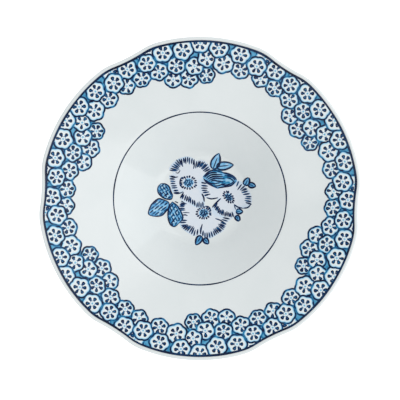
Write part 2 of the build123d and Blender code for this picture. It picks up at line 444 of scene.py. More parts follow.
def coat_section():
    """Face, lip and back down to the bare band of the foot, and the inner side of that coat of glaze."""
    out = foot_radius + foot_half(bare_band) + glaze
    outer = face_points(0)[:-1] + lip_points(0)
    past_run = foot_radius + foot_width / 2 + glaze_run + 0.6
    back = [point for point in reversed(face_points(wall)[:-1]) if point[0] > past_run]
    outer += back + list(reversed(run_in(foot_radius, 1))) + [(out, bare_band)]
    past_foot = foot_radius + foot_width / 2 + 0.5
    skin = [point for point in face_points(wall - glaze)[:-1] if point[0] > past_foot]
    inside = foot_radius + foot_half(foot_height)
    inner = [(foot_radius + foot_half(bare_band), bare_band), (inside, underside(inside, wall - glaze))]
    inner += skin + list(reversed(lip_points(glaze))) + list(reversed(face_points(glaze)[:-1]))
    return outer + inner


def recess_section():
    """The coat of glaze in the recess inside the foot ring."""
    edge = foot_radius - foot_half(bare_band)
    lower = [(edge - glaze, bare_band)] + run_in(foot_radius, -1)
    lower += [(floor_radius * share / 4, foot_height) for share in (3, 2, 1, 0)]
    inside = foot_radius - foot_half(foot_height)
    upper = [(floor_radius * share / 4, foot_height + glaze) for share in range(5)]
    upper += [(inside, underside(inside, wall - glaze)), (edge, bare_band)]
    return lower + upper


def foot_section():
    """The foot ring up into its seat under the body, with a rounded standing edge."""
    half = foot_half(0)
    points = []
    for side in (1, -1):
        corner = []
        for step in range(5):
            angle = radians(90 * step / 4)
            corner.append((foot_radius + side * (half - foot_round + foot_round * sin(angle)),
                           foot_round - foot_round * cos(angle)))
        top = foot_radius + side * foot_half(foot_height)
        corner.append((top, underside(top, wall - glaze)))
        points += corner if side == 1 else list(reversed(corner))
        if side == 1:
            for seat in (foot_radius + seat_half, foot_radius - seat_half):
                points.append((seat, underside(seat, wall - glaze)))
    return points


coat = lathe("glaze_coat", coat_section(), glaze_finish)
scallop(coat)
recess = lathe("glaze_of_recess", recess_section(), glaze_finish)
foot = lathe("bare_foot_ring", foot_section(), bare_finish)
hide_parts("glaze_face", "glaze_back")
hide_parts("glaze_recess")
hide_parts("foot_ring")
for piece in (coat, recess, foot):
    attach(piece, "root")
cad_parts["bowl_body"].data.materials.clear()
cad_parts["bowl_body"].data.materials.append(bare_finish)


# --- Printing ---
print_height = 0.09      # metres above the foot where prints are drawn flat, before they are laid down
film = 0.02 * MM         # thickness of one film of ink
layer = 0.05 * MM        # from one layer of prints to the next
lift = 0.003 * MM        # from one mark to another that crosses it in the same layer
touching = 0.8 * MM      # marks with vertices nearer than this to each other cross
most_steps = 8           # so that no mark reaches the next layer


def lay_down(piece, level, thickness=film):
    """Lays a flat print on the face of the bowl, `level` layers up, and gives it its thickness. Marks drawn
    a little above the rest stay that much above it."""
    raised = [vertex.co.z - print_height for vertex in piece.data.vertices]
    apply_modifier(piece, "SHRINKWRAP", target=coat, wrap_method="PROJECT", use_project_z=True,
                   use_negative_direction=True, use_positive_direction=False, offset=layer * (level + 0.6))
    for vertex, height in zip(piece.data.vertices, raised):
        vertex.co.z += height
    apply_modifier(piece, "SOLIDIFY", thickness=thickness, offset=1.0)


def ink_of(piece):
    """The values that say how much ink each vertex of a print holds, from 0 to 1."""
    held = piece.data.attributes.get("ink") or piece.data.attributes.new("ink", "FLOAT", "POINT")
    return held.data


def drawn(outline, steps, material):
    """A flat print with a closed outline, in millimetres. `steps` gives, from the edge inwards, how far in
    each ring of vertices lies and how much ink it holds; the middle holds as much as the last ring."""
    bpy.ops.object.select_all(action="DESELECT")
    bpy.ops.mesh.primitive_circle_add(vertices=len(outline), radius=MM, fill_type="NGON")
    piece = bpy.context.object
    piece.data.materials.append(material)
    for vertex, (x, y) in zip(piece.data.vertices, outline):
        vertex.co = (x * MM, y * MM, print_height)
    for entry in ink_of(piece):
        entry.value = steps[0][1]
    for (depth, _), (reach, amount) in zip(steps, steps[1:]):
        bpy.ops.object.mode_set(mode="EDIT")
        bpy.ops.mesh.inset(thickness=(reach - depth) * MM)
        bpy.ops.object.mode_set(mode="OBJECT")
        for vertex, entry in zip(piece.data.vertices, ink_of(piece)):
            if vertex.select:
                entry.value = amount
    bpy.ops.object.mode_set(mode="EDIT")
    bpy.ops.mesh.poke()
    bpy.ops.object.mode_set(mode="OBJECT")
    return piece


def stamped(stamp, x, y, turn=0.0, length=1.0, width=1.0):
    """A copy of a flat mark drawn about the axis: sized, turned (degrees) and moved (millimetres)."""
    copy = stamp.copy()
    copy.data = stamp.data.copy()
    copy.data.transform(Matrix.Diagonal((length, width, 1, 1)))
    copy.data.transform(Matrix.Rotation(radians(turn), 4, "Z"))
    copy.data.transform(Matrix.Translation((x * MM, y * MM, 0)))
    bpy.context.scene.collection.objects.link(copy)
    return copy


def lifted(piece, steps):
    """Raises a flat print a few small steps above the others of its layer, where they overlap."""
    piece.data.transform(Matrix.Translation((0, 0, lift * steps)))


def stacked(marks):
    """Raises each mark one step above the marks before it that it touches, so that no two share a plane."""
    placed = []
    for mark in marks:
        dots = [vertex.co.xy.copy() for vertex in mark.data.vertices]
        if not dots:
            continue
        left, right = min(dot.x for dot in dots), max(dot.x for dot in dots)
        low, high = min(dot.y for dot in dots), max(dot.y for dot in dots)
        steps = 0
        for others, box, height in placed:
            if height < steps or box[0] > right or box[1] < left or box[2] > high or box[3] < low:
                continue
            if any((dot - other).length_squared < touching**2 for dot in dots for other in others):
                steps = height + 1
        placed.append((dots, (left, right, low, high), steps))
        lifted(mark, min(steps, most_steps))
    return marks


def polar(radius, angle):
    return radius * cos(radians(angle)), radius * sin(radians(angle))


def cut_at_rim_line(piece, angle, radius):
    """Cuts away what lies beyond the rim line. The line is followed by two chords where it bulges, or by one
    where it dips into a notch."""
    spread = degrees(radius / lip_radius)
    points = []
    for side in (-1, 0, 1):
        bearing = angle + side * spread
        points.append(Vector((*polar(lip_reach(bearing) - rim_line_inset, bearing), 0)) * MM)
    first, middle, last = points
    bulges = (middle - first).cross(last - middle).z > 0
    for start, end in ((first, middle), (middle, last)) if bulges else ((first, last),):
        outwards = (end - start).cross(Vector((0, 0, 1))).normalized()
        in_edit(piece, lambda: bpy.ops.mesh.bisect(
            plane_co=start, plane_no=outwards, clear_outer=True, threshold=1e-6))


# --- Border of blossoms ---
# Degrees clockwise from the middle of a lobe, distance in from the lip, radius, petals, turn of the first
# petal and layer: the outer blossoms were drawn over the inner ones.
border = (
    (27.6, 12.9, 8.9, 6, 50, 4), (-24.5, 15.7, 8.4, 6, 10, 4), (-17.3, 10.9, 9.0, 6, 2, 5),
    (-20.9, 26.6, 8.4, 6, 41, 3), (-28.9, 26.8, 7.9, 6, 11, 2), (-13.1, 25.0, 8.3, 6, 30, 3),
    (-15.6, 37.2, 7.7, 5, 54, 1), (-9.5, 11.9, 9.3, 6, -5, 5), (-2.9, 6.0, 9.4, 6, 0, 4),
    (-5.3, 27.7, 8.4, 5, 30, 2), (-0.2, 20.3, 8.2, 5, 63, 3), (0.0, 35.8, 7.5, 6, 7, 1),
    (-8.4, 38.8, 8.4, 6, 50, 0), (4.2, 9.6, 9.0, 6, 6, 5), (6.9, 23.1, 9.3, 6, 19, 4),
    (12.7, 11.6, 8.9, 6, 49, 5), (14.5, 25.2, 8.3, 6, 14, 3), (20.3, 17.0, 9.0, 6, 54, 4),
    (21.8, 6.5, 8.5, 6, 10, 3), (23.9, 25.9, 7.7, 5, 24, 2), (-23.7, 6.2, 8.5, 6, 40, 3),
)
rim_line_inset = 4.4     # from the lip in to the middle of the line
rim_line_width = 2.0
rim_line_height = 6.5    # layers under the rim line
outline_width = 1.65     # of the dark line round a blossom
petal_reach = 4.25       # from the middle of a blossom out to the middles of its petals
petal_length = 4.4
petal_width = 3.0
star_reach = 2.1         # of the points of the star and of the corners between them
star_waist = 0.6
first_lobe = notch_turn + 180 / lobes


def blossom_outline(draw, radius, petals, turn, tangent):
    """A scalloped round, drawn a little unevenly and a little wider along the rim than across it."""
    waves = [(number, draw.uniform(0, 360), draw.uniform(0.0, 0.022)) for number in (2, 3, 5)]
    points = []
    for step in range(48):
        angle = 360 * step / 48
        lobe = abs(cos(radians(petals * (angle - turn) / 2)))
        reach = radius * (0.955 + 0.11 * lobe) + outline_width / 2
        reach *= 1 + sum(size * cos(radians(number * angle - phase)) for number, phase, size in waves)
        reach *= 1 + 0.03 * cos(radians(2 * (angle - tangent)))
        points.append(polar(reach, angle))
    return points


def drop_outline(length, width, taper=0.34, count=14):
    """A teardrop along X, narrower at the near end by its taper."""
    points = []
    for step in range(count):
        angle = radians(360 * step / count)
        swell = (1 - taper + taper * cos(angle)) / (2 - 2 * taper)
        points.append((length / 2 * cos(angle), width * sin(angle) * swell))
    return points


def star_outline(arms, long, short):
    return [polar(long if step % 2 else short, 180 * step / arms) for step in range(2 * arms)]


def one_repeat():
    """The border over one lobe: the blue ground between the blossoms, then the blossoms layer by layer."""
    draw = random.Random(27)
    drop = drawn(drop_outline(petal_length, petal_width), ((0, 1.0), (0.8, 1.0), (1.15, 0.75)), blue_finish)
    for vertex, entry in zip(drop.data.vertices, ink_of(drop)):
        entry.value *= min(1.0, 0.92 + 0.1 * vertex.co.x / MM)
    layers = {}
    for turn, inset, radius, petals, first, level in border:
        angle = first_lobe - turn
        x, y = polar(lip_radius - inset, angle)
        first += first_lobe - 90
        outline = blossom_outline(draw, radius, petals, first, angle + 90)
        face = drawn(outline, ((0, 0.8), (0.3, 1.0), (outline_width - 0.25, 1.0), (outline_width + 0.2, 0.25),
                               (3.0, 0.03), (4.4, 0.0)), blue_finish)
        for vertex, entry in zip(face.data.vertices, ink_of(face)):
            if entry.value > 0.6:
                bearing = atan2(vertex.co.y, vertex.co.x)
                entry.value -= 0.22 * (1 + sin(2 * bearing + first)) * abs(sin(3 * bearing + radius))
        face.data.transform(Matrix.Translation((x * MM, y * MM, 0)))
        star = drawn(star_outline(petals, star_reach, star_waist), ((0, 0.2), (0.2, 0.35)), blue_finish)
        marks = [stamped(star, x, y, first)]
        bpy.data.objects.remove(star)
        for petal in range(petals):
            lean = first + 360 * petal / petals + draw.uniform(-5, 5)
            mark_x, mark_y = polar(petal_reach + draw.uniform(-0.3, 0.3), lean)
            length, width = draw.uniform(0.88, 1.08), draw.uniform(0.85, 1.1)
            marks.append(stamped(drop, x + mark_x, y + mark_y, lean, length, width))
        line_reach = lip_reach(angle) - rim_line_inset
        if lip_radius - inset + radius > line_reach - 1:
            for part in [face] + marks:
                cut_at_rim_line(part, angle, radius)
        faces = layers.setdefault(level, [])
        for part in [face] + stacked(marks):
            lifted(part, len(faces))
        faces.append(face)
        layers.setdefault(level + 0.5, []).extend(marks)
    bpy.data.objects.remove(drop)
    laid = [ground()]
    for level in sorted(layers):
        sheet = joined(layers[level], "sheet")
        lay_down(sheet, level, film if level == int(level) else film * 0.75)
        laid.append(sheet)
    return joined(laid, "border")


def ground():
    """The wash of blue behind the blossoms, from the rim line in to the middles of the innermost ones."""
    inner = ((-30.0, 26.8), (-24.0, 26.6), (-20.9, 28.0), (-15.6, 36.0), (-8.4, 37.5), (0.0, 35.0),
             (6.0, 26.0), (14.5, 25.2), (23.9, 25.9), (30.0, 26.8))
    bpy.ops.object.select_all(action="DESELECT")
    bpy.ops.mesh.primitive_grid_add(x_subdivisions=48, y_subdivisions=9, size=1)
    piece = bpy.context.object
    piece.data.materials.append(blue_finish)
    for vertex in piece.data.vertices:
        turn = -60 * vertex.co.x
        place = max(number for number, point in enumerate(inner[:-1]) if point[0] <= turn + 1e-6)
        (low, low_inset), (high, high_inset) = inner[place], inner[place + 1]
        inset = low_inset + (high_inset - low_inset) * (turn - low) / (high - low)
        angle = first_lobe - turn
        outer = lip_reach(angle) - rim_line_inset
        x, y = polar(outer + (lip_radius - inset - outer) * (vertex.co.y + 0.5), angle)
        vertex.co = (x * MM, y * MM, print_height)
    for entry in ink_of(piece):
        entry.value = 0.44
    lay_down(piece, -0.55)
    return piece


def band(name, middle, width, height):
    """A line banded round the bowl with a brush. `middle` gives its radius at an angle, in degrees."""
    bpy.ops.object.select_all(action="DESELECT")
    bpy.ops.mesh.primitive_circle_add(vertices=turns, radius=lip_radius * MM)
    piece = named(name, line_finish)

    def work():
        bpy.ops.mesh.extrude_region_move()
        bpy.ops.transform.resize(value=(0.99, 0.99, 1))

    in_edit(piece, work)
    for vertex in piece.data.vertices:
        angle = degrees(atan2(vertex.co.y, vertex.co.x))
        side = 0.5 if vertex.co.xy.length > 0.995 * lip_radius * MM else -0.5
        swell = 1 + 0.10 * sin(radians(7 * angle)) + 0.07 * sin(radians(17 * angle + 40))
        x, y = polar(middle(angle) + side * width * swell, angle)
        vertex.co = (x * MM, y * MM, print_height)
    for vertex, entry in zip(piece.data.vertices, ink_of(piece)):
        angle = degrees(atan2(vertex.co.y, vertex.co.x))
        entry.value = 0.93 + 0.07 * sin(radians(5 * angle)) * sin(radians(11 * angle + 30))
    in_edit(piece, lambda: bpy.ops.mesh.normals_make_consistent(inside=False))
    if piece.data.polygons[0].normal.z < 0:
        in_edit(piece, bpy.ops.mesh.flip_normals)
    lay_down(piece, height)
    return piece


rim_line = band("rim_band", lambda angle: lip_reach(angle) - rim_line_inset, rim_line_width, rim_line_height)
verge_line = band("verge_band", lambda angle: verge_radius, banded_width, 0)
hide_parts("rim_line")
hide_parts("verge_line")
for piece in (rim_line, verge_line):
    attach(piece, "root")

repeat = one_repeat()
for number in range(1, lobes + 1):
    copy = turned_copy(repeat, f"blossom_border_{number}", 360 / lobes * (number - 1))
    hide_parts(f"border_print_{number}")
    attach(copy, "root")
bpy.data.objects.remove(repeat)


# --- Spray of flowers in the well ---
# Closed curves round the three peonies, the bud and the broad leaves, in millimetres from the axis.
peonies = (
    ((-25, 5), (-28, 10.5), (-28.3, 16), (-29.6, 21.8), (-25.5, 24.5), (-29.8, 28.5), (-25.5, 34.5),
     (-19, 39), (-12, 40.5), (-6.3, 38.8), (-3.8, 36.3), (1.5, 37.3), (7, 34), (10.6, 28.6), (7.5, 22),
     (2.5, 17.5), (0.7, 13), (0.8, 8), (2.2, 4), (3.8, 0.3), (4.6, -3.5), (3.4, -8.2), (-2.5, -8.8),
     (-9, -5.6), (-15, -3.6), (-19.2, 0), (-17, 4.4)),
    ((-14, -1), (-17.8, -2.6), (-20.4, -7), (-20.4, -12), (-18.5, -17.5), (-19.2, -23), (-18.6, -27.2),
     (-14.5, -30.9), (-9, -34.8), (-4, -36.2), (1.2, -35), (5.2, -37.4), (9.8, -38.4), (15.2, -35.4),
     (21.5, -31.8), (25.2, -27), (25.6, -23.8), (29.6, -20), (25, -18.4), (20, -16), (15, -12.4),
     (11.2, -9), (6, -6.6), (-3, -3.5)),
    ((-1, 14), (-1, 8), (1.2, 3.2), (6.5, 0.4), (12, -0.6), (17, -0.4), (14.6, -5), (11.6, -8.4),
     (14, -13.4), (19, -18), (26, -20.8), (32.6, -18), (35.6, -13.4), (36.5, -9.6), (41.5, -9.8),
     (47, -8.2), (49.7, -3), (49.3, 3), (46.8, 8.2), (43, 12.6), (38.4, 16.9), (32, 17), (20, 17.5),
     (8, 19), (1, 17)),
)
bud = ((2.7, 20.8), (5, 23.7), (9, 26.5), (14.5, 27.6), (19.5, 26.8), (24.5, 24.5), (29.3, 23.2),
       (33.3, 20.9), (35.6, 18), (34.5, 15.2), (31, 12.4), (27, 11.1), (22, 10.8), (17.2, 9.5),
       (13.2, 11), (9.7, 13.5), (6, 16), (3.7, 18.4))
broad_leaves = (
    ((-26, 3.2), (-27.7, -0.6), (-33.5, 0), (-37.8, 2.8), (-40.3, 6.5), (-40.2, 11), (-37.5, 14.4),
     (-33, 13.8), (-29.8, 11.6), (-28.2, 7.4)),
    ((-30.3, -3), (-35, -1.4), (-39.5, -0.2), (-44.2, -3.4), (-47.6, -8), (-49.4, -14.4), (-46.8, -16.6),
     (-41, -17), (-36.4, -16), (-33, -12.6), (-30.3, -9), (-29.6, -5.6)),
    ((-26.4, -3.2), (-22.2, -6.6), (-19.4, -10.5), (-17.2, -15), (-16.4, -18.4), (-17.8, -21.4),
     (-20.6, -24), (-24.2, -26.8), (-28, -25.2), (-30.2, -20), (-30.6, -14), (-29.8, -9), (-28.4, -5.6)),
)
# Strokes along the edges of the petals: first, middle and last outer end, how many, how long, and the point
# that they run towards.
fringes = (
    (((-29.0, 21.6), (-27.6, 13.5), (-25.2, 5.4), 8, 4.6, (30, 13)),
     ((-29.2, 27.2), (-25.8, 33.4), (-20.3, 38.6), 7, 7.0, (-13.6, 25.3)),
     ((-18.0, 38.6), (-11.8, 40.1), (-5.6, 38.0), 7, 5.4, (-11.5, 8)),
     ((-2.6, 36.4), (4.4, 35.4), (10.2, 28.8), 9, 6.2, (-6, 20)),
     ((-18.9, 0.4), (-12.2, -3.6), (-4.9, -7.0), 8, 4.9, (-7, 22)),
     ((-3.0, -8.2), (0.2, -8.8), (3.2, -8.0), 4, 5.0, (0.5, 30))),
    (((-17.9, -2.9), (-19.9, -6.6), (-19.8, -11.3), 6, 5.0, (24, -10)),
     ((-18.6, -21.0), (-19.2, -23.4), (-18.4, -26.2), 3, 5.8, (20, -22)),
     ((-17.6, -28.0), (-13.6, -31.0), (-8.3, -34.6), 6, 6.4, (-2.1, -19.7)),
     ((-5.6, -35.6), (-2.8, -35.4), (0.6, -34.4), 3, 6.0, (0.5, -12)),
     ((2.9, -36.2), (8.4, -38.2), (14.6, -35.2), 6, 5.0, (5, -10)),
     ((16.2, -34.4), (22.2, -30.8), (25.0, -24.6), 8, 6.0, (5.5, -17)),
     ((26.8, -21.8), (28.2, -20.8), (28.9, -19.4), 2, 5.6, (0, -14))),
    (((1.0, 15.2), (1.2, 9.0), (4.0, 3.4), 6, 5.4, (34, 9)),
     ((13.4, -9.6), (21.4, -16.4), (32.4, -17.6), 12, 4.8, (25, 8)),
     ((49.3, -5.6), (49.2, 2.0), (45.2, 9.6), 7, 5.6, (26, 2)),
     ((44.6, 10.2), (41.8, 13.2), (37.4, 16.4), 4, 5.6, (31, 1))),
)
# Folds between the petals and lines inside them: width, then the points that the brush went through.
folds = (
    ((1.3, (-5.6, 37.0), (-5.4, 32.5), (-6.2, 28.5)), (0.9, (-23.5, 25.0), (-20.8, 24.6), (-19.0, 27.4)),
     (1.3, (-29.2, 21.6), (-25.0, 20.4), (-21.0, 20.9)), (1.1, (-25.4, 5.2), (-21.0, 4.7), (-16.0, 6.6)),
     (1.3, (-15.8, 6.2), (-17.0, 3.2), (-18.7, 0.8)), (1.6, (1.8, 4.8), (3.6, 1.2), (4.2, -3.2)),
     (1.0, (-24.2, -2.8), (-22.2, -3.6), (-20.8, -4.4)),
     (1.5, (-16.4, 9.8), (-18.7, 12.8), (-19.0, 16.8), (-17.4, 20.3), (-15.2, 19.7))),
    ((1.3, (2.3, -24.4), (1.3, -28.6), (0.8, -33.6)), (1.3, (14.8, -19.2), (19.8, -21.0), (24.9, -24.2)),
     (0.9, (-16.6, -13.6), (-13.0, -13.5), (-9.8, -13.8)),
     (1.3, (-16.6, -16.0), (-14.0, -15.7), (-11.8, -16.6)),
     (1.6, (5.0, -7.4), (8.6, -8.4), (10.8, -12.4))),
    ((1.6, (4.6, 2.6), (6.2, 3.3), (8.4, 3.6)), (1.4, (6.2, 0.9), (11.2, -0.3), (17.6, 0.8)),
     (1.6, (11.8, -8.6), (15.4, -4.4), (20.2, 0.2)), (1.4, (32.8, -5.6), (36.6, -8.2), (41.6, -9.4)),
     (1.0, (32.9, -6.4), (33.7, -8.4), (34.3, -10.6)), (1.4, (41.6, -9.3), (46.0, -8.6), (48.8, -5.8))),
)
# Stamens: middle, half length, half width, turn and number of strokes in the ring.
stamens = (((-10.9, 15.2), 8.3, 6.9, 0, 18), ((3.7, -13.9), 7.7, 6.4, 0, 17),
           ((27.6, 1.4), 7.2, 4.7, -52, 14))
# Lines of the bud: width, then the points that the brush went through.
bud_lines = (
    (1.2, (3.2, 20.6), (8.6, 25.8), (14.5, 27.2), (22.0, 25.0)),
    (1.2, (4.4, 20.0), (8.0, 23.6), (12.0, 25.0), (16.5, 24.8)),
    (1.2, (5.8, 19.2), (9.0, 21.8), (13.0, 23.1), (21.5, 22.9)),
    (1.2, (7.0, 18.2), (10.2, 20.1), (14.0, 21.2), (22.5, 21.0)),
    (1.1, (8.4, 17.3), (11.4, 18.6), (15.2, 19.5), (24.0, 18.8)),
    (1.1, (10.4, 16.6), (13.6, 17.6), (17.0, 16.8), (22.5, 16.4)),
    (1.3, (3.6, 19.4), (6.4, 15.8), (12.0, 12.4), (17.0, 10.2)),
    (1.0, (5.6, 18.2), (9.0, 15.2), (14.0, 14.2), (19.0, 15.4)),
    (1.0, (13.0, 12.6), (17.0, 12.2), (21.0, 13.4), (25.0, 14.4)),
    (1.2, (17.0, 10.2), (23.0, 11.2), (30.0, 12.6), (34.2, 16.6)),
    (1.4, (22.0, 25.0), (28.4, 23.2), (33.0, 20.6), (35.2, 18.0)),
    (1.1, (23.5, 22.6), (28.6, 21.4), (32.2, 19.6), (34.0, 17.4)),
    (1.0, (26.0, 19.8), (29.0, 19.2), (31.4, 17.8), (32.6, 16.4)),
    (1.0, (21.0, 12.8), (25.4, 13.0), (30.0, 14.4), (33.0, 16.8)),
)
# Softer shades in the bud: width, ink, then the points that the brush went through.
bud_shades = (
    (3.4, 0.62, (18.0, 14.0), (23.0, 15.6), (29.0, 15.4)),
    (3.0, 0.62, (22.0, 19.8), (26.0, 21.0), (30.0, 19.0)),
    (3.0, 0.58, (6.0, 17.0), (11.0, 15.0), (15.0, 13.0)),
    (2.6, 0.6, (12.0, 26.6), (17.0, 26.6), (22.0, 24.8)),
    (2.2, 0.25, (9.0, 22.8), (13.0, 24.0), (19.0, 23.9)),
    (1.6, 0.22, (10.4, 21.2), (14.0, 22.2), (20.0, 22.0)),
    (1.6, 0.3, (24.6, 16.6), (27.6, 17.4), (30.6, 16.2)),
    (1.6, 0.25, (15.0, 13.4), (18.0, 13.2), (20.6, 14.4)),
)
# Narrow leaves and leaflets: stalk end, tip and width.
narrow_leaves = (((12.6, 28.4), (18.3, 43.4), 8.2), ((15.8, 30.6), (32.3, 32.4), 7.4))
leaflets = (((43.4, 12.5), (46.8, 20.2), 5.6), ((46.4, 13.6), (53.6, 11.8), 4.8),
            ((34.8, -12.2), (41.4, -12.6), 4.6), ((34.6, -16.4), (38.2, -21.5), 4.4),
            ((1.3, -35.9), (-3.8, -44.6), 5.6), ((3.7, -38.2), (8.4, -43.6), 4.6))
# Hatching of the broad leaves: direction in degrees and gap in millimetres of each set of strokes.
hatchings = (((-58, 2.5), (28, 3.4)), ((38, 2.4),), ((-64, 2.6), (52, 3.6)))
dash_length = 5.0
dash_width = 1.5


def smooth_line(points, closed=False, spacing=1.0):
    """Points about `spacing` millimetres apart on a smooth curve through a few points."""
    stops = [Vector(point) for point in points]
    if closed:
        padded = stops[-1:] + stops + stops[:2]
    else:
        padded = [2 * stops[0] - stops[1]] + stops + [2 * stops[-1] - stops[-2]]
    line = []
    for before, start, end, after in zip(padded, padded[1:], padded[2:], padded[3:]):
        steps = max(1, round((end - start).length / spacing))
        for step in range(steps):
            share = step / steps
            line.append(0.5 * (2 * start + share * (end - before)
                               + share**2 * (2 * before - 5 * start + 4 * end - after)
                               + share**3 * (3 * start - before - 3 * end + after)))
    return line if closed else line + [stops[-1]]


def leaf_sides(stalk, tip, width):
    """Both edges of a narrow leaf, from stalk to tip."""
    start, end = Vector(stalk), Vector(tip)
    along = end - start
    across = Vector((-along.y, along.x)).normalized() * width / 2
    return [smooth_line((start, start + along * 0.14 + side * 0.78, start + along * 0.45 + side,
                         start + along * 0.8 + side * 0.58, end)) for side in (across, -across)]


def washed(outline, rim, amount, draw):
    """A wash of thin blue in a closed outline. `rim` is the ink near its edge, `amount` that further in."""
    middle = sum(outline, Vector((0, 0))) / len(outline)
    rings = max(4, round(max((point - middle).length for point in outline) / 1.3))
    bpy.ops.object.select_all(action="DESELECT")
    bpy.ops.mesh.primitive_grid_add(x_subdivisions=len(outline), y_subdivisions=rings, size=1)
    piece = bpy.context.object
    piece.data.materials.append(wash_finish)
    phase = draw.uniform(0, 360)
    for vertex, entry in zip(piece.data.vertices, ink_of(piece)):
        turn = (vertex.co.x + 0.5) * len(outline)
        share = 0.5 - vertex.co.y
        point = outline[round(turn) % len(outline)]
        at = middle + (point - middle) * share
        inwards = (1 - share) * (point - middle).length
        uneven = 0.75 + 0.25 * sin(radians(1440 * turn / len(outline) + phase)) * sin(radians(90 * share))
        entry.value = amount + (rim - amount) * uneven * max(0.0, 1 - inwards / 7.5)
        vertex.co = (at.x * MM, at.y * MM, print_height)
    in_edit(piece, lambda: bpy.ops.mesh.remove_doubles(threshold=1e-7))
    if piece.data.polygons[0].normal.z < 0:
        in_edit(piece, bpy.ops.mesh.flip_normals)
    return piece


def brushed(points, width, amount=1.0):
    """A brush line that swells from a fine start and thins out again at its end."""
    path = smooth_line(points)
    bpy.ops.object.select_all(action="DESELECT")
    bpy.ops.mesh.primitive_grid_add(x_subdivisions=len(path) - 1, y_subdivisions=2, size=1)
    piece = bpy.context.object
    piece.data.materials.append(blue_finish)
    for vertex, entry in zip(piece.data.vertices, ink_of(piece)):
        share = vertex.co.x + 0.5
        step = min(int(share * (len(path) - 1) + 1e-4), len(path) - 2)
        ahead = path[step + 1] - path[step]
        at = path[step] + ahead * (share * (len(path) - 1) - step)
        across = Vector((-ahead.y, ahead.x)).normalized()
        swell = 0.4 + 0.6 * sqrt(max(0.0, min(1.0, share / 0.25, (1 - share) / 0.35)))
        at += across * width * swell * vertex.co.y
        entry.value = amount * (1.0 if abs(vertex.co.y) < 0.25 else 0.85) * (0.75 + 0.25 * swell)
        vertex.co = (at.x * MM, at.y * MM, print_height)
    return piece


def stroke(dash, start, end, width=dash_width, strength=1.0):
    """A copy of the short stroke, from its dark blunt end to its fine one."""
    along = Vector(end) - Vector(start)
    middle = (Vector(start) + Vector(end)) / 2
    copy = stamped(dash, middle.x, middle.y, degrees(atan2(-along.y, -along.x)), along.length / dash_length,
                   width / dash_width)
    for entry in ink_of(copy):
        entry.value *= strength
    return copy


def fringe(dash, first, middle, last, count, length, root, draw):
    """Strokes side by side along the edge of a petal, each running in towards the petal's root."""
    first, middle, last, root = (Vector(point) for point in (first, middle, last, root))
    control = 2 * middle - (first + last) / 2
    strokes = []
    for number in range(count):
        share = (number + draw.uniform(-0.12, 0.12)) / (count - 1)
        outer = (1 - share) ** 2 * first + 2 * share * (1 - share) * control + share**2 * last
        inwards = (root - outer).normalized()
        outer += inwards * draw.uniform(-0.5, 0.5)
        inner = outer + inwards * length * draw.uniform(1.0, 1.3)
        width, strength = dash_width * draw.uniform(0.95, 1.2), draw.uniform(0.88, 1.0)
        strokes.append(stroke(dash, outer, inner, width, strength))
    return strokes


def stamen_ring(dash, middle, half_length, half_width, turn, count, draw):
    """Short strokes set round like a wheel, and a cluster of dabs inside them."""
    tilt = Matrix.Rotation(radians(turn), 2)
    middle = Vector(middle)
    marks = []
    for number in range(count):
        angle = radians(360 * (number + draw.uniform(-0.15, 0.15)) / count)
        spoke = tilt @ Vector((half_length * cos(angle), half_width * sin(angle)))
        outer = middle + spoke * draw.uniform(0.97, 1.07)
        inner = outer - spoke.normalized() * draw.uniform(2.4, 3.3)
        marks.append(stroke(dash, outer, inner, draw.uniform(1.5, 1.8)))
    for number in range(count):
        angle = radians(137.5 * number)
        reach = 0.52 * sqrt((number + 0.6) / count)
        dab = middle + tilt @ Vector((half_length * reach * cos(angle), half_width * reach * sin(angle)))
        lean = Vector(polar(draw.uniform(0.8, 1.2), draw.uniform(0, 360)))
        marks.append(stroke(dash, dab - lean, dab + lean, draw.uniform(1.3, 1.7), draw.uniform(0.85, 1.0)))
    return marks


def disc_outline(middle, half_length, half_width, turn):
    tilt = Matrix.Rotation(radians(turn), 2)
    points = []
    for angle in range(0, 360, 12):
        x, y = polar(1, angle)
        points.append(Vector(middle) + tilt @ Vector((half_length * x, half_width * y)))
    return points


def hatching(dash, outline, lean, gap, draw):
    """Parallel strokes across a shape, broken here and there, and clear of its edge."""
    along = Vector(polar(1, lean))
    across = Vector((-along.y, along.x))
    sides = [point.dot(across) for point in outline]
    strokes = []
    offset = min(sides) + gap * 0.7
    while offset < max(sides) - gap * 0.4:
        crossings = []
        for start, end in zip(outline, outline[1:] + outline[:1]):
            low, high = start.dot(across) - offset, end.dot(across) - offset
            if low * high < 0:
                crossings.append((start + (end - start) * low / (low - high)).dot(along))
        if len(crossings) >= 2:
            place, stop = min(crossings) + 0.9, max(crossings) - 0.9
            while stop - place > 1.6:
                reach = min(draw.uniform(4.0, 8.5), stop - place)
                begin = across * (offset + draw.uniform(-0.2, 0.2)) + along * place
                width, strength = draw.uniform(1.35, 1.6), draw.uniform(0.74, 0.96)
                strokes.append(stroke(dash, begin + along * reach, begin, width, strength))
                place += reach + draw.uniform(0.2, 1.2)
        offset += gap * draw.uniform(0.9, 1.1)
    return strokes


def printed(name, node, level, washes, marks):
    """Lays the washes and then the marks of one flower or leaf, and puts it in the place of its node."""
    for number, wash in enumerate(washes):
        lay_down(wash, level + 0.25 * number)
    lines = joined(stacked(marks), "marks")
    lay_down(lines, level + 0.5, film * 0.75)
    piece = joined(washes + [lines], name)
    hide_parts(node)
    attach(piece, "root")


def peony(place, dash, draw):
    """Washes and marks of one open flower."""
    marks = []
    for petal in fringes[place]:
        marks += fringe(dash, *petal, draw)
    for width, *points in folds[place]:
        marks.append(brushed(points, width))
    marks += stamen_ring(dash, *stamens[place], draw)
    middle, half_length, half_width, turn, _ = stamens[place]
    heart = disc_outline(middle, half_length * 0.6, half_width * 0.64, turn)
    return [washed(smooth_line(peonies[place], True, 1.2), 0.24, 0.06, draw),
            washed(heart, 0.3, 0.75, draw)], marks


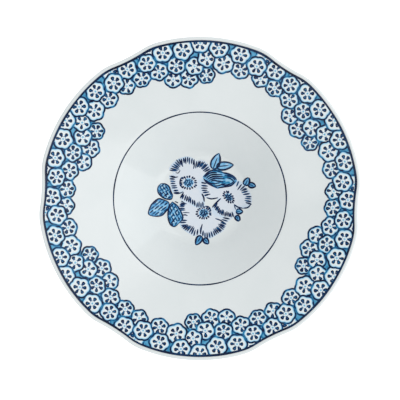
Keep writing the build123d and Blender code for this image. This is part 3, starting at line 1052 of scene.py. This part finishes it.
def striped_bud(draw):
    """Wash and marks of the bud."""
    outline = smooth_line(bud, True, 1.2)
    marks = [brushed(points, width, amount) for width, amount, *points in bud_shades]
    marks += [brushed(points, 1.35 * width) for width, *points in bud_lines]
    return [washed(outline, 0.66, 0.46, draw)], marks


def hatched_leaf(points, sets, dash, draw):
    """Wash and marks of a broad leaf: its outline, pale flecks, and the hatching over them."""
    outline = smooth_line(points, True, 1.2)
    marks = [brushed(points[:7], 1.5), brushed(points[6:] + points[:1], 1.5)]
    middle = sum(outline, Vector((0, 0))) / len(outline)
    for _ in range(18):
        edge = draw.choice(outline)
        fleck = middle + (edge - middle) * draw.uniform(0.1, 0.82)
        lean = Vector(polar(draw.uniform(0.9, 1.7), sets[0][0] + draw.uniform(-15, 15)))
        marks.append(stroke(dash, fleck - lean, fleck + lean, draw.uniform(1.1, 1.6), 0.2))
    for lean, gap in sets:
        marks += hatching(dash, outline, lean, gap, draw)
    return [washed(outline, 0.7, 0.58, draw)], marks


def slim_leaf(leaf, every, rib, inks, draw):
    """Wash and marks of a narrow leaf. `every` thins out the points of its sides, `rib` is the width and ink
    of its midrib and two places along it, and `inks` are those of the wash."""
    left, right = leaf_sides(*leaf)
    stalk, tip = Vector(leaf[0]), Vector(leaf[1])
    width, amount, *places = rib
    marks = [brushed(left[::every] + left[-1:], 1.6), brushed(right[::every] + right[-1:], 1.9)]
    marks.append(brushed([stalk] + [stalk.lerp(tip, place) for place in places], width, amount))
    return [washed(left + right[-2:0:-1], *inks, draw)], marks


def spray():
    """The peonies, the bud over them, and the leaves and leaflets."""
    draw = random.Random(5)
    dash = drawn(drop_outline(dash_length, dash_width, 0.15), ((0, 0.9), (0.35, 1.0)), blue_finish)
    for vertex, entry in zip(dash.data.vertices, ink_of(dash)):
        entry.value *= 0.94 + 0.06 * vertex.co.x / (dash_length / 2 * MM)
    for number, level in ((1, 2), (2, 1), (3, 0)):
        printed(f"peony_{number}", f"flower_print_{number}", level, *peony(number - 1, dash, draw))
    printed("peony_bud", "bud_print", 3, *striped_bud(draw))
    for number, (points, sets, level) in enumerate(zip(broad_leaves, hatchings, (0, 0, 3)), 1):
        printed(f"broad_leaf_{number}", f"leaf_print_{number}", level,
                *hatched_leaf(points, sets, dash, draw))
    for number, leaf in enumerate(narrow_leaves, 4):
        printed(f"narrow_leaf_{number - 3}", f"leaf_print_{number}", 4,
                *slim_leaf(leaf, 3, (1.1, 1.0, 0.4, 0.72), (0.6, 0.35), draw))
    for number, leaf in enumerate(leaflets, 1):
        printed(f"leaflet_{number}", f"leaflet_print_{number}", 1,
                *slim_leaf(leaf, 2, (1.3, 0.8, 0.3, 0.66), (0.72, 0.5), draw))
    bpy.data.objects.remove(dash)


spray()


# --- Floor, light and camera ---
def pale_table():
    """Opal acrylic, lit from below like a product table, so that it stays white under the bowl."""
    material = finish("opal_acrylic")
    place = object_place(material)
    fibres = noise(material, place, 0.002, Detail=3.0)
    shade = add_node(material, "ShaderNodeValToRGB", links={"Fac": fibres.outputs["Fac"]},
                     stops=((0.3, "#F7F7F7"), (0.7, "#FBFBFB")))
    colour = shade.outputs["Color"]
    shader = add_node(material, "ShaderNodeBsdfPrincipled",
                      values={"Roughness": 0.9, "Emission Strength": 0.42},
                      links={"Base Color": colour, "Emission Color": colour})
    add_node(material, "ShaderNodeOutputMaterial", links={"Surface": shader.outputs["BSDF"]})
    return material


def soft_box(name, place, aim, size, power):
    """A square area light, `size` metres wide, that faces the point `aim`."""
    data = bpy.data.lights.new(name, "AREA")
    data.size = size
    data.energy = power
    light = bpy.data.objects.new(name, data)
    light.location = place
    light.rotation_euler = (Vector(aim) - Vector(place)).to_track_quat("-Z", "Y").to_euler()
    bpy.context.scene.collection.objects.link(light)


bpy.ops.object.select_all(action="DESELECT")
bpy.ops.mesh.primitive_plane_add(size=6.0)
table = bpy.context.object
table.name = "table"
table.data.materials.append(pale_table())

soft_box("key_light", (2.0, 0.25, 1.7), (0, 0, 0.03), 3.2, 33)
soft_box("fill_light", (-1.0, -1.0, 1.8), (0, 0, 0.03), 1.8, 6)
world = bpy.data.worlds.new("studio")
world.use_nodes = True
world.node_tree.nodes["Background"].inputs["Color"].default_value = (1.0, 1.0, 1.0, 1.0)
world.node_tree.nodes["Background"].inputs["Strength"].default_value = 0.65
bpy.context.scene.world = world
bpy.context.scene.view_settings.view_transform = "Standard"

view_distance = 2.2      # metres from the lens to the rim
view_width = 0.3765      # metres across the picture at the rim
view_offset = (0.0001, -0.0014)
camera_data = bpy.data.cameras.new("camera")
camera_data.lens = camera_data.sensor_width * view_distance / view_width
camera = bpy.data.objects.new("camera", camera_data)
camera.location = (*view_offset, cad_box[1].z + view_distance)
bpy.context.scene.collection.objects.link(camera)
bpy.context.scene.camera = camera
